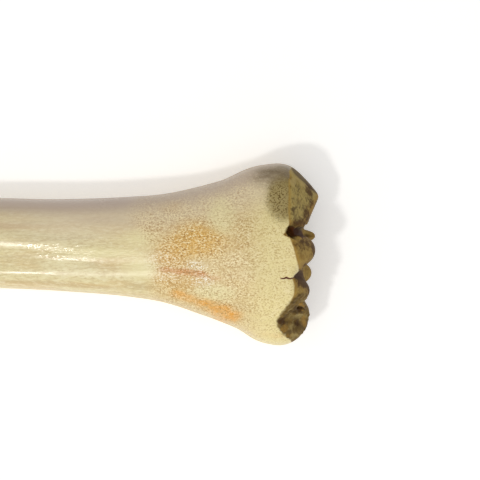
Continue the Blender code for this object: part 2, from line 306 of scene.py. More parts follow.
def crack_facts(p):
    """Signed distance across the crack and distance inside its ends, in millimetres."""
    x, y, z = p.T
    first, last, middle, lowest = CRACK
    across = y - middle - sum(wave * np.sin(x * turn) for wave, turn in CRACK_WAVES)
    return across, np.minimum(np.minimum(x - first, last - x), z - lowest)


def crack_depth(p):
    """How deep the crack cuts in at each point, in millimetres."""
    across, inside = crack_facts(p)
    return CRACK_DEPTH * np.clip(inside / CRACK_TAPER, 0, 1) * np.exp(-((across / CRACK_WIDTH) ** 2))


def uncut_bone(p):
    """Distance to the bone before its grooves, pits, broken corner and hollows are cut."""
    shaft = body(p) - sum(crest(p, rows) for rows in (OUTER_CREST, INNER_CREST, FINE_CREST))
    d = join(shaft, outer_lobe(p), LOBES[0][3]) + unevenness(p)
    d = join(d, rod(p, *RIM[:4]), RIM[4])
    for centre, radii, lean, blend in LOBES[1:]:
        d = join(d, blob(p, centre, radii, lean), blend)
    for point, outward, rounding in FACES:
        d = keep(d, half_space(p, point, outward), rounding)
    return d


def bone(p):
    """Distance to the whole bone, negative inside it."""
    d = uncut_bone(p)
    for start, end, start_radius, end_radius, rounding in GROOVES:
        d = cut(d, rod(p, start, end, start_radius, end_radius), rounding)
    d = cut(d, notch(p), NOTCH_EDGE)
    for centre, radii, lean, rounding in HOLLOWS:
        d = cut(d, blob(p, centre, radii, lean), rounding)
    for start, end, start_radius, end_radius, blend in NOTCH_RISES:
        d = join(d, rod(p, start, end, start_radius, end_radius), blend)
    return np.maximum(d + notch_lumps(p) + crack_depth(p), -p[:, 2])


# The surface is found along rays that leave a point inside each end through the sides and lid of a box
CARPAL_EYE = (212.0, 3.0, 26.0)
ELBOW_EYE = (-226.0, 1.0, 23.0)
BOX_SLOPE = (0.74, 0.52)
EYE_BLEND = 60.0
RAY_START = 2.0
STEP_SHARE = 0.6
STEP_LIMITS = (-4.0, 1.0)
FLAT_BELOW = 1e-4
RAY_STEPS = 110
RAY_ERROR = 0.002

# How many points the box has across, up and along, and how many rings the shaft between the boxes has
CARPAL_GRID = (152, 96, 62)
ELBOW_GRID = (76, 48, 30)
FLARE_X = 204.0
FLARE_RINGS = 8
SHAFT_RINGS = 100


def edge_points(across, up):
    """The points round the edge of a grid, as shares of its half width and half height."""
    u = [2 * i / across - 1 for i in range(across)]
    v = [2 * i / up - 1 for i in range(up)]
    low, outer = [(t, -1) for t in u], [(1, t) for t in v]
    return np.array(low + outer + [(-t, 1) for t in u] + [(-1, -t) for t in v], float)


def lid_points(across, up):
    """The points inside the same grid, row by row."""
    return np.array([(2 * i / across - 1, 2 * j / up - 1) for j in range(1, up) for i in range(1, across)])


def box_rays(eye, points, share):
    """Starts and directions of the rays from an eye through box points that far along it."""
    side = math.copysign(share, eye[0])
    slopes = points * BOX_SLOPE
    directions = np.column_stack([np.full(len(points), side), slopes])
    directions /= np.linalg.norm(directions, axis=1)[:, None]
    return np.repeat(np.array([eye]), len(points), axis=0), directions


def ring_rays(x, points):
    """Starts and directions of the rays that leave the bone's axis square to it."""
    low_y, high_y, low_z, high_z = smooth_rows(np.array([x]), SECTIONS)[:4, 0]
    eye = CARPAL_EYE if x > 0 else ELBOW_EYE
    share = min(1.0, abs(x - eye[0]) / EYE_BLEND)
    middle = np.array([x, (low_y + high_y) / 2, (low_z + high_z) / 2])
    start = middle * share + np.array([x, eye[1], eye[2]]) * (1 - share)
    _, directions = box_rays(eye, points, 0.0)
    return np.repeat(start[None], len(points), axis=0), directions


def find_surface(starts, directions):
    """The first point of each ray that lies on the bone's surface."""
    reach = np.full(len(starts), RAY_START)
    going = np.arange(len(starts))
    for _ in range(RAY_STEPS):
        gap = bone(starts[going] + directions[going] * reach[going, None])
        reach[going] -= np.clip(gap * STEP_SHARE, *STEP_LIMITS)
        going = going[np.abs(gap) > RAY_ERROR]
        if not len(going):
            break
    return starts + directions * reach[:, None]


def ray_plan(carpal_grid, elbow_grid, flare_rings, shaft_rings):
    """The rays of the elbow lid, of every ring from there to the carpal end, and of the carpal lid."""
    fine, coarse = edge_points(*carpal_grid[:2]), edge_points(*elbow_grid[:2])
    plan = [box_rays(ELBOW_EYE, lid_points(*elbow_grid[:2]), 1.0)]
    for i in range(elbow_grid[2], 0, -1):
        plan.append(box_rays(ELBOW_EYE, coarse, i / elbow_grid[2]))
    for i in range(shaft_rings + 1):
        wave = (1 - math.cos(math.pi * i / shaft_rings)) / 2
        plan.append(ring_rays(ELBOW_EYE[0] + (FLARE_X - ELBOW_EYE[0]) * wave, coarse))
    for i in range(1, flare_rings + 1):
        plan.append(ring_rays(FLARE_X + (CARPAL_EYE[0] - FLARE_X) * i / flare_rings, fine))
    for i in range(1, carpal_grid[2] + 1):
        plan.append(box_rays(CARPAL_EYE, fine, i / carpal_grid[2]))
    return plan + [box_rays(CARPAL_EYE, lid_points(*carpal_grid[:2]), 1.0)]


def bridge(bm, near, far):
    """Faces between two rings of points, the second of which may have twice as many points."""
    n, ratio = len(near), len(far) // len(near)
    for i in range(n):
        a, b = near[i], near[(i + 1) % n]
        if ratio == 1:
            bm.faces.new((a, b, far[(i + 1) % n], far[i]))
            continue
        c, d, e = far[2 * i], far[2 * i + 1], far[(2 * i + 2) % len(far)]
        bm.faces.new((a, d, c))
        bm.faces.new((a, b, d))
        bm.faces.new((b, e, d))


def lid(bm, edge, inside, across, up):
    """Faces of the grid that closes an end, from its edge ring and its inner points."""
    rows = [edge[: across + 1]]
    for j in range(1, up):
        inner = inside[(j - 1) * (across - 1) : j * (across - 1)]
        rows.append([edge[-j], *inner, edge[across + j]])
    rows.append(edge[across + up : 2 * across + up + 1][::-1])
    for low, high in zip(rows, rows[1:]):
        for i in range(across):
            bm.faces.new((low[i], low[i + 1], high[i + 1], high[i]))


def build_mesh():
    """The bone as rings of points bridged into one closed skin, with a grid over each end."""
    share = 1
    carpal_grid = [n // share for n in CARPAL_GRID]
    elbow_grid = [n // share for n in ELBOW_GRID]
    plan = ray_plan(carpal_grid, elbow_grid, FLARE_RINGS // share, SHAFT_RINGS // share)
    points = find_surface(np.concatenate([r[0] for r in plan]), np.concatenate([r[1] for r in plan]))
    points[:, 2] = np.where(points[:, 2] < FLAT_BELOW, 0.0, points[:, 2])
    bm = bmesh.new()
    dots = [bm.verts.new(tuple(point)) for point in points * MM]
    groups, first = [], 0
    for starts, _ in plan:
        groups.append(dots[first : first + len(starts)])
        first += len(starts)
    for near, far in zip(groups[1:-2], groups[2:-1]):
        bridge(bm, near, far)
    lid(bm, groups[1], groups[0], *elbow_grid[:2])
    lid(bm, groups[-2], groups[-1], *carpal_grid[:2])
    bmesh.ops.recalc_face_normals(bm, faces=bm.faces)
    mesh = bpy.data.meshes.new("leg_bone")
    bm.to_mesh(mesh)
    bm.free()
    mesh.shade_smooth()
    return mesh


# Where the joint's surface begins on the back face: y and the x of its margin
MARGIN = (
    (-39.0, 259.0),
    (-36.6, 257.6),
    (-34.4, 256.4),
    (-28.6, 251.2),
    (-27.6, 251.6),
    (-24.6, 254.0),
    (-22.4, 256.2),
    (-16.4, 258.6),
    (-12.8, 258.8),
    (-9.8, 258.0),
    (-9.4, 258.2),
    (-6.6, 261.0),
    (-1.7, 259.6),
    (3.6, 258.2),
    (6.9, 257.0),
    (8.1, 254.3),
    (12.2, 256.7),
    (18.4, 256.4),
    (27.0, 256.8),
    (31.4, 257.2),
    (34.0, 262.0),
)
# Round the sides and the front the margin runs at this x, and the two meet between these heights
SIDE_MARGIN = 258.0
MARGIN_HEIGHTS = (38.0, 47.0)
ELBOW_MARGIN = -262.0

# The worn faces that the finish follows: the chamfer of the corner and the side of the big lobe
CHAMFER = FACES[4]
LOBE_SIDE = OUTER_LOBE_FACES[0]
# Hollows and edges are felt for this far from the surface
REACH = 2.4

# Where each finish begins and where it is full, towards the carpal end and towards the elbow end
SPONGY_RANGES = ((192, 207), (176, 226))
SATIN_RANGES = ((157, 188), (140, 190))
RIPPLED_RANGES = ((138, 164), (120, 170))
# Spongy bone starts nearer the middle on the +Y side: share, where that begins in y, and over how much of it
SPONGY_LEAN = (0.6, 2.0, 14.0)
# Ripples keep to the upper crest, and the lower crest turns satin this much nearer the middle
UPPER_CREST_Y = (-5.0, 0.5)
LOWER_CREST_Y = (-3.0, -6.0)
LOWER_CREST_SHIFT = 15.0
# Painted shade, partly the bone's own greyer tone, along the outer side, and lighter painted cool shade on
# the back that turns towards it: distances from that side, heights, x
SHADED_SIDE = (-9.5, -2.5)
TURNED_SIDE = (-24.0, -7.0)
TURNED_X = (136.0, 165.0)
SIDE_HEIGHTS = (4.0, 19.0)
# The ground back face, the broken corner and the places where grains thin out
GROUND_X = (234.0, 250.0)
GROUND_HEIGHTS = (14.0, 26.0)
BROKEN_Y = (-18.5, -20.5)
BROKEN_HEIGHTS = (12.0, 20.0)
SPARSE_Y = (9.0, 21.0)
SPARSE_X = (236.0, 248.0)

# Stains on the upper side, as seen from above: x, y, half length, half width, strength
STAIN_PLACES = {
    "gold": (
        (220.0, 5.0, 14.0, 8.0, 0.8),
        (209.0, 1.0, 9.0, 7.0, 0.6),
        (217.0, 12.0, 11.0, 5.0, 0.3),
        (-236.0, 4.0, 21.0, 11.0, 0.65),
        (-247.0, -12.0, 15.0, 10.0, 0.5),
    ),
    # Pale places, partly the bone's own paler tone and partly painted reflected light
    "pale_and_painted_light": (
        (226.0, -15.6, 11.0, 4.4, 0.9),
        (195.0, -6.0, 11.0, 6.0, 0.7),
        (194.0, 6.0, 12.0, 6.0, 0.6),
        (229.0, 16.0, 8.0, 10.0, 0.7),
        (178.0, 0.6, 24.0, 3.0, 0.7),
    ),
    "rust": (
        (205.6, -6.3, 5.0, 1.8, 0.75),
        (213.0, -7.0, 6.0, 2.0, 1.0),
        (219.6, -8.0, 5.0, 1.9, 1.0),
        (225.6, -9.6, 5.0, 1.6, 0.5),
        (-226.0, 2.6, 13.0, 1.6, 0.6),
    ),
    "orange": (
        (210.0, -16.4, 5.0, 2.6, 0.75),
        (215.7, -18.2, 6.0, 2.6, 0.8),
        (222.0, -20.8, 6.0, 3.2, 0.9),
        (227.5, -23.0, 6.0, 3.8, 1.0),
        (232.0, -25.6, 7.0, 4.6, 0.95),
        (229.0, -27.4, 6.0, 2.6, 0.6),
        (247.0, -33.8, 7.0, 2.6, 0.3),
        (254.0, -34.6, 4.0, 1.8, 0.3),
        (-226.0, -21.0, 16.0, 5.0, 0.5),
        (-238.0, -26.0, 11.0, 5.0, 0.5),
    ),
    "tan": (
        (211.0, -11.0, 11.0, 6.0, 0.95),
        (208.0, -3.0, 9.0, 7.0, 0.8),
        (208.0, -9.3, 9.0, 3.4, 0.9),
        (208.0, 20.0, 10.0, 4.0, 0.3),
    ),
    "peach": (
        (142.0, 12.0, 20.0, 2.4, 0.5),
        (142.0, -14.0, 22.0, 3.4, 0.6),
        (176.0, -12.0, 18.0, 3.0, 0.5),
        (60.0, -13.0, 50.0, 4.0, 0.4),
        (30.0, 12.0, 60.0, 3.0, 0.3),
        (-70.0, 10.0, 60.0, 5.0, 0.4),
    ),
    "grey": (
        (178.0, 14.6, 15.0, 2.4, 0.5),
        (140.0, 12.6, 16.0, 2.0, 0.4),
        (40.0, 13.0, 60.0, 3.0, 0.4),
    ),
    "olive": (
        (258.6, 27.0, 11.0, 13.5, 0.97),
        (254.6, 22.0, 7.0, 10.0, 0.7),
    ),
    # Dark umber at the outer top of the lobe, partly the bone's colour and partly painted shade that carries
    # on the outer side's
    "umber_and_shade": (
        (254.0, 34.6, 13.0, 4.4, 0.9),
        (247.0, 31.0, 9.0, 5.0, 0.5),
    ),
    "mottled": (
        (252.8, 23.2, 6.4, 10.2, 1.0),
    ),
    # Polished places in the grainy flare, with a smoother shine and with painted glints on single grains
    "glossy_with_painted_glints": (
        (218.5, -4.6, 5.0, 2.4, 1.0),
        (221.0, -11.0, 6.0, 3.4, 0.8),
        (204.0, -2.6, 9.0, 5.0, 0.4),
        (206.0, -9.6, 7.0, 3.0, 0.4),
    ),
    "amber": (
        (255.2, -31.2, 2.4, 2.2, 0.8),
        (261.9, -20.8, 1.2, 1.0, 1.0),
        (263.4, -22.8, 0.8, 1.8, 1.0),
        (264.2, -29.0, 1.6, 4.2, 0.8),
        (257.0, -34.6, 3.0, 1.3, 0.6),
        (267.6, 19.0, 1.5, 4.2, 0.7),
        (261.6, 12.4, 1.5, 2.6, 1.0),
        (263.4, 8.6, 2.4, 1.8, 0.8),
    ),
    # Dirt and painted shade in the pit
    "pit": (
        (258.4, 9.4, 4.2, 2.8, 1.0),
        (262.4, 8.6, 3.0, 2.0, 1.0),
        (266.6, 7.9, 2.6, 0.9, 0.8),
        (261.0, -8.8, 2.4, 1.8, 0.75),
    ),
}
STAIN_HEIGHTS = (13.0, 21.0)

# Dark and light places on the joint surface, which keep to its upper part; the dark ones in the cleft and in
# the broken corner's recesses are partly painted shade
JOINT_STAIN_PLACES = {
    "dark": (
        (261.8, -9.0, 3.4, 3.4, 1.0),
        (263.4, -12.4, 4.0, 2.6, 0.8),
        (266.2, -15.6, 1.8, 4.0, 0.7),
        (262.6, 4.6, 5.0, 3.6, 0.66),
        (267.6, 2.0, 1.8, 4.6, 0.7),
        (264.4, -4.6, 3.0, 1.6, 0.6),
        (266.4, 28.0, 2.8, 5.0, 0.8),
        (260.8, 13.6, 4.8, 3.0, 0.75),
        (264.6, 17.2, 2.2, 3.6, 0.7),
        (266.8, 22.0, 1.8, 2.6, 0.6),
        (253.8, -27.9, 2.6, 2.2, 0.9),
        (261.5, -23.0, 1.5, 1.7, 1.0),
        (260.6, -29.4, 1.7, 2.8, 0.7),
    ),
    "light": (
        (261.6, -26.2, 2.5, 1.3, 1.0),
        (258.3, -26.2, 2.4, 2.2, 0.5),
        (259.6, -35.0, 3.0, 2.0, 0.6),
        (258.8, 30.6, 1.8, 2.2, 1.0),
    ),
}
JOINT_STAIN_HEIGHTS = (22.0, 31.0)


def soft_step(value, low, high):
    """A smooth rise from 0 at low to 1 at high."""
    t = np.clip((value - low) / (high - low), 0, 1)
    return t * t * (3 - 2 * t)


def towards_ends(x, ranges, shift=0.0):
    """Rises from 0 on the shaft to 1 at the carpal end, which a shift moves, and at the elbow end."""
    carpal_range, elbow_range = ranges
    return soft_step(x + shift, *carpal_range), soft_step(-x, *elbow_range)


def patches(p, places, heights):
    """How much each point is stained by any of some soft ovals on the upper side, from 0 to 1."""
    clean = np.ones(len(p))
    for x, y, half_length, half_width, strength in places:
        r = np.hypot((p[:, 0] - x) / half_length, (p[:, 1] - y) / half_width)
        clean *= 1 - strength * np.exp(-1.6 * r**3)
    return (1 - clean) * soft_step(p[:, 2], *heights)


def past_margin(p):
    """How far each point lies past the joint surfaces' margins, in millimetres."""
    x, y, z = p.T
    table = np.array(MARGIN)
    top = np.interp(y, table[:, 0], table[:, 1])
    side = SIDE_MARGIN + 0.8 * np.sin(y / 6.0) + 0.7 * np.sin(z / 4.3 + 1.0)
    share = soft_step(z, *MARGIN_HEIGHTS)
    carpal = x - top * share - side * (1 - share)
    elbow = ELBOW_MARGIN + 0.9 * np.sin(y / 7.0) - x
    return np.maximum(carpal, elbow)


def shape_facts(p, n):
    """What the bone's own shape says about each point: its distances, its lean and how closed in it is."""
    across, inside = crack_facts(p)
    return {
        "past_margin": past_margin(p),
        "from_notch": notch(p),
        "from_chamfer": half_space(p, *CHAMFER[:2]),
        "from_lobe_side": half_space(p, *LOBE_SIDE[:2]),
        "crack_across": across,
        "crack_inside": inside,
        "steep": 1 - n[:, 2],
        "dug": -uncut_bone(p) * (p[:, 0] > 0),
        "cavity": np.clip(1 - bone(p + n * REACH) / REACH, 0, 1),
        "edge": np.clip(1 + bone(p - n * REACH) / REACH, 0, 1),
    }


def finish_facts(p):
    """Where each kind of finish lies, from 0 to 1."""
    x, y, z = p.T
    from_side = y - smooth_rows(x, SECTIONS)[1]
    off_front = soft_step(z, *SIDE_HEIGHTS)
    turned_share = 0.6 + 0.4 * soft_step(x, *TURNED_X)
    lean, first, width = SPONGY_LEAN
    shift = LOWER_CREST_SHIFT * soft_step(y, *LOWER_CREST_Y)
    rippled, elbow_rippled = towards_ends(x, RIPPLED_RANGES)
    return {
        "spongy": np.maximum(*towards_ends(x, SPONGY_RANGES, lean * np.clip(y - first, 0, width))),
        "satin": np.maximum(*towards_ends(x, SATIN_RANGES, shift)),
        "rippled": np.maximum(rippled * soft_step(y, *UPPER_CREST_Y), elbow_rippled),
        "broken": soft_step(y, *BROKEN_Y) * soft_step(x, 0, 9) * soft_step(z, *BROKEN_HEIGHTS),
        "grainy": 1.1 - 0.4 * soft_step(y, *SPARSE_Y) - 0.3 * soft_step(x, *SPARSE_X),
        # Painted shade, partly a real greyer tone, along the outer side and on the back turned towards it
        "shaded": soft_step(from_side, *SHADED_SIDE) * off_front,
        "turned_away": soft_step(from_side, *TURNED_SIDE) * off_front * turned_share,
        "ground": soft_step(x, *GROUND_X) * soft_step(z - 0.5 * np.maximum(y, 0), *GROUND_HEIGHTS),
    }


def surface_facts(mesh):
    """Stores on each point what the finish needs to know about its place."""
    count = len(mesh.vertices)
    p, n = np.empty(count * 3), np.empty(count * 3)
    mesh.vertices.foreach_get("co", p)
    mesh.vertex_normals.foreach_get("vector", n)
    p, n = p.reshape(-1, 3) / MM, n.reshape(-1, 3)
    facts = shape_facts(p, n) | finish_facts(p)
    for places, heights in ((STAIN_PLACES, STAIN_HEIGHTS), (JOINT_STAIN_PLACES, JOINT_STAIN_HEIGHTS)):
        facts |= {name: patches(p, ovals, heights) for name, ovals in places.items()}
    for name, values in facts.items():
        mesh.attributes.new(name, "FLOAT", "POINT").data.foreach_set("value", values.astype(np.float32))


# Colours as shown on a screen, from 0 to 255
CREAM = (227, 212, 160)
WARM = (218, 184, 128)
IVORY = (236, 225, 180)
KHAKI = (202, 184, 140)
# Painted shade of the outer side, partly the bone's own greyer tone, and the lighter painted cool shade
# beside it
SHADED = (190, 171, 158)
COOL_SHADE_CREAM = (224, 208, 182)
TAN = (223, 187, 120)
GRAIN = (168, 122, 62)
LIGHT_GRAIN = (250, 235, 190)
# Painted glint on single grains
PAINTED_GLINT = (255, 254, 246)
FLECK = (204, 182, 134)
PALE_FLECK = (248, 240, 206)
GOLD = (226, 177, 80)
RUST = (206, 120, 8)
ORANGE = (238, 160, 0)
# Pale bone, partly painted reflected light
PALE_AND_PAINTED_LIGHT = (240, 230, 178)
GROUND = (243, 230, 168)
OLIVE = (146, 128, 72)
# Umber, partly painted shade at the outer top of the lobe
UMBER_AND_SHADE = (130, 114, 88)
MOTTLE = (168, 151, 99)
SPOT = (106, 85, 42)
JOINT = (178, 158, 92)
JOINT_DARK = (84, 64, 32)
JOINT_LIGHT = (184, 162, 100)
AMBER = (168, 130, 58)
NOTCH_TONE = (122, 98, 50)
NOTCH_LIGHT = (176, 155, 98)
# Dirt and painted shade in the pit and in the clefts
PIT_DIRT_AND_SHADE = (68, 30, 0)
CLEFT_DIRT_AND_SHADE = (68, 44, 2)
# Dark stains, partly painted shade in clefts and recesses
DARK_STAIN_AND_SHADE = (72, 42, 4)
CRACK_TONE = (92, 34, 10)
FLOOR_TONE = (250, 250, 250)
FLOOR_GLOW = 0.30

# Noises: stretch along x, y and z, swells in a metre, detail, roughness
NOISES = {
    "wander": ((1, 1, 1), 420, 4, 0.55),
    "broad_clouds": ((0.25, 1, 1), 90, 4, 0.55),
    "warm_clouds": ((0.3, 1, 1), 62, 3, 0.55),
    "bands": ((0.06, 1, 1), 260, 4, 0.55),
    "fibres": ((0.07, 1, 1), 1300, 3, 0.7),
    "flecks": ((0.28, 1, 1), 1200, 3, 0.75),
    "stain_clouds": ((0.4, 1, 1), 330, 5, 0.75),
    "grains": ((0.7, 1, 1), 1700, 2, 0.8),
    "grain_patches": ((1, 1, 1), 210, 3, 0.6),
    "spots": ((1, 1, 1), 1500, 1, 0.5),
    "joint_clouds": ((1, 1, 1), 190, 4, 0.65),
    "joint_flecks": ((1, 0.6, 1), 900, 4, 0.75),
    "joint_stain_clouds": ((1, 1, 1), 420, 5, 0.65),
    "notch_clouds": ((1, 1, 1), 240, 4, 0.6),
    "scratches": ((0.03, 1, 1), 900, 3, 0.55),
    "dashes": ((0.25, 1, 1), 1100, 3, 0.65),
    "ripples": ((0.35, 1, 1), 1300, 2, 0.55),
}
# Streaks on the joint surface run parallel to its worn edge: degrees round, length, swells, detail, roughness
STREAKS = (59.0, 4.0, 620, 4, 0.7)

# Thin colours laid over a tone in turn: what shows them, the values where each begins and is full, strength
SHAFT_BANDS = (
    ("bands", 0.50, 0.66, 0.65, KHAKI),
    ("fibres", 0.50, 0.66, 0.3, KHAKI),
    ("warm_clouds", 0.47, 0.62, 0.4, WARM),
)
SHAFT_FLECKS = (
    ("flecks", 0.50, 0.34, 0.6, FLECK),
    ("flecks", 0.50, 0.64, 0.5, PALE_FLECK),
)
JOINT_LAYERS = (
    ("joint_clouds", 0.48, 0.66, 0.7, JOINT_DARK),
    ("joint_flecks", 0.52, 0.68, 0.55, JOINT_LIGHT),
    ("joint_flecks", 0.48, 0.32, 0.6, JOINT_DARK),
    ("streaks", 0.52, 0.66, 0.75, JOINT_DARK),
    ("streaks", 0.47, 0.34, 0.5, AMBER),
    ("past_margin", 1.6, 0.3, 0.5, AMBER),
    ("from_chamfer", -1.9, -0.9, 0.6, JOINT_LIGHT),
    # The chamfer's face, darker partly as painted shade where it turns from the light
    ("from_chamfer", -0.5, -0.1, 0.8, JOINT_DARK),
    ("from_lobe_side", -2.0, -0.5, 0.5, AMBER),
)
NOTCH_LAYERS = (
    ("notch_clouds", 0.50, 0.68, 0.7, NOTCH_LIGHT),
    ("notch_clouds", 0.48, 0.34, 0.7, JOINT_DARK),
)
# Each stain: name, colour, how much clouds and grains break it, where its rise ends, strength
STAINS = (
    ("tan", TAN, 1.4, 0.0, 0.95, 0.8),
    ("gold", GOLD, 1.6, 1.6, 0.95, 0.95),
    # Pale is partly painted reflected light
    ("pale_and_painted_light", PALE_AND_PAINTED_LIGHT, 1.4, 0.8, 0.95, 0.9),
    ("rust", RUST, 2.4, 5.0, 1.35, 0.9),
    ("orange", ORANGE, 3.0, 2.2, 1.5, 0.9),
    ("olive", OLIVE, 0.3, 0.0, 0.95, 1.0),
    ("mottled", MOTTLE, 0.3, 0.0, 0.95, 1.0),
    # Umber is partly painted shade on the lobe's outer top
    ("umber_and_shade", UMBER_AND_SHADE, 1.8, 0.0, 1.1, 1.0),
)
JOINT_STAINS = (
    ("amber", AMBER, 0.8),
    ("light", NOTCH_LIGHT, 0.8),
    # Dark stains, partly painted shade in the cleft and the broken corner's recesses
    ("dark", DARK_STAIN_AND_SHADE, 0.88),
)
JOINT_STAIN_CLOUDS = 1.8

# How far the margins wander, and how high each kind of fine relief stands, in millimetres
WANDER = 0.6
RELIEF_HEIGHTS = {"scratches": 0.012, "dashes": 0.10, "grains": 0.11, "ripples": 0.19}
# The dark line of the crack: how long it widens, and its half width at its inner end and where it is widest
CRACK_LINE = (5.0, 0.16, 0.5)
# The broad sheen of the polish and the sharper shine of the bone under it
POLISH_WEIGHT = 0.46
POLISH_ROUGHNESS = 0.3
POLISH_IOR = 1.36
SHINE_LEVEL = 0.27
SHAFT_ROUGHNESS = 0.12
SATIN_ROUGHNESS = 0.18
GLOSSY_SHARE = 0.18
ROUGH_PLACES = (("joint", 0.82), ("notch", 0.82), ("dirt_and_shade", 1.0))


def linear(colour):
    """A screen colour as the renderer's light values, with full alpha."""
    shares = [c / 255 for c in colour]
    return tuple(s / 12.92 if s <= 0.04045 else ((s + 0.055) / 1.055) ** 2.4 for s in shares) + (1.0,)


def add(tree, kind, inputs=None, **settings):
    """A new node, with its settings, and with each named input set or linked."""
    node = tree.nodes.new(kind)
    for name, value in settings.items():
        setattr(node, name, value)
    for key, value in (inputs or {}).items():
        if isinstance(value, bpy.types.NodeSocket):
            tree.links.new(value, node.inputs[key])
        else:
            node.inputs[key].default_value = value
    return node


def calc(tree, operation, *values):
    """The result of one sum carried through some values."""
    result = values[0]
    for value in values[1:]:
        result = add(tree, "ShaderNodeMath", {0: result, 1: value}, operation=operation).outputs[0]
    return result


def total(tree, *values):
    """Some values added together."""
    return calc(tree, "ADD", *values)


def less(tree, value, taken):
    """One value with another taken away."""
    return calc(tree, "SUBTRACT", value, taken)


def product(tree, *values):
    """Some values multiplied together."""
    return calc(tree, "MULTIPLY", *values)


def most(tree, *values):
    """The highest of some values."""
    return calc(tree, "MAXIMUM", *values)


def rise(tree, value, low, high, top=1.0):
    """A smooth rise of a value from 0 at low to top at high."""
    inputs = {"Value": value, "From Min": low, "From Max": high, "To Max": top}
    return add(tree, "ShaderNodeMapRange", inputs, interpolation_type="SMOOTHSTEP").outputs["Result"]


def mix(tree, share, a, b):
    """One colour turning into another. A colour is a socket or a screen colour."""
    a, b = (c if isinstance(c, bpy.types.NodeSocket) else linear(c) for c in (a, b))
    node = add(tree, "ShaderNodeMix", {0: share, 6: a, 7: b}, data_type="RGBA")
    return node.outputs[2]


def fact(tree, name):
    """A value stored on the mesh's points."""
    return add(tree, "ShaderNodeAttribute", attribute_name=name).outputs["Fac"]


def cloudy(tree, where, per_metre, detail, roughness):
    """Cloudy noise from 0 to 1 with that many swells in a metre."""
    inputs = {"Vector": where, "Scale": per_metre, "Detail": detail, "Roughness": roughness}
    return add(tree, "ShaderNodeTexNoise", inputs).outputs[0]


def noise(tree, name):
    """One of the noises above, on the bone's own coordinates."""
    stretch, *swells = NOISES[name]
    coordinates = add(tree, "ShaderNodeTexCoord").outputs["Object"]
    where = add(tree, "ShaderNodeMapping", {"Vector": coordinates, "Scale": stretch}).outputs["Vector"]
    return cloudy(tree, where, *swells)


def joint_streaks(tree):
    """Streaky noise along a line that lies some way round from the bone's length."""
    turn, length, *swells = STREAKS
    coordinates = add(tree, "ShaderNodeTexCoord").outputs["Object"]
    inputs = {"Vector": coordinates, "Rotation": (0, 0, math.radians(turn)), "Scale": (length, 1, 1)}
    where = add(tree, "ShaderNodeMapping", inputs, vector_type="TEXTURE").outputs["Vector"]
    return cloudy(tree, where, *swells)


def source(tree, name):
    """The noise, the streaks or the stored value of that name."""
    if name == "streaks":
        return joint_streaks(tree)
    return noise(tree, name) if name in NOISES else fact(tree, name)


def glazed(tree, tone, layers):
    """The same tone under some thin colours."""
    sources = {name: source(tree, name) for name in dict.fromkeys(layer[0] for layer in layers)}
    for name, begins, full, strength, colour in layers:
        tone = mix(tree, rise(tree, sources[name], begins, full, strength), tone, colour)
    return tone


def masks(tree):
    """The shares from 0 to 1 that tell the bone's kinds of surface apart."""
    wander = product(tree, less(tree, noise(tree, "wander"), 0.5), WANDER)
    joint = rise(tree, total(tree, fact(tree, "past_margin"), wander), -0.35, 0.35)
    inside_notch = rise(tree, total(tree, fact(tree, "from_notch"), wander), 1.1, 0.3)
    spongy = total(tree, fact(tree, "spongy"), product(tree, wander, 0.16))
    # Recesses and closed-in places, darkened by dirt and by painted shade
    deep = rise(tree, fact(tree, "dug"), 0.8, 3.2)
    closed_in = rise(tree, fact(tree, "cavity"), 0.30, 0.85)
    return {
        "joint": joint,
        "notch": most(tree, inside_notch, product(tree, joint, fact(tree, "broken"))),
        "spongy": rise(tree, spongy, 0.0, 1.0),
        "satin": rise(tree, total(tree, fact(tree, "satin"), wander), 0.1, 0.9),
        "dirt_and_shade": most(tree, deep, closed_in),
        "edge": rise(tree, fact(tree, "edge"), 0.10, 0.45),
    }


def shaft_tone(tree, mask):
    """Cream bone with long faint streaks, tan at the ends, and painted shade, partly a real greyer tone,
    along its outer side and on the back turned towards it.
    """
    tone = mix(tree, rise(tree, noise(tree, "broad_clouds"), 0.38, 0.66), CREAM, IVORY)
    tone = glazed(tree, tone, SHAFT_BANDS)
    peach = product(tree, fact(tree, "peach"), rise(tree, noise(tree, "bands"), 0.36, 0.56))
    tone = glazed(tree, mix(tree, peach, tone, WARM), SHAFT_FLECKS)
    tone = mix(tree, product(tree, mask["spongy"], 0.45), tone, TAN)
    tone = mix(tree, product(tree, fact(tree, "ground"), 0.85), tone, GROUND)
    # Painted cool shade on the back where it turns towards the outer side
    tone = mix(tree, product(tree, fact(tree, "turned_away"), 0.75), tone, COOL_SHADE_CREAM)
    # Painted shade along the outer side, partly a real greyer tone, taken together with grey patches of the
    # bone's own
    grey = most(tree, fact(tree, "shaded"), product(tree, fact(tree, "grey"), 0.4))
    fading = less(tree, 0.88, product(tree, mask["spongy"], 0.22))
    return mix(tree, product(tree, grey, fading), tone, SHADED)


def stained(tree, tone, grains):
    """The same tone with its stains, broken by clouds and by the grains of the bone."""
    cloud = less(tree, noise(tree, "stain_clouds"), 0.5)
    speckle = less(tree, grains, 0.5)
    for name, colour, by_cloud, by_grain, full, strength in STAINS:
        breaking = total(tree, product(tree, cloud, by_cloud), product(tree, speckle, by_grain), 1.0)
        share = product(tree, breaking, fact(tree, name))
        tone = mix(tree, rise(tree, share, 0.05, full, strength), tone, colour)
    return tone


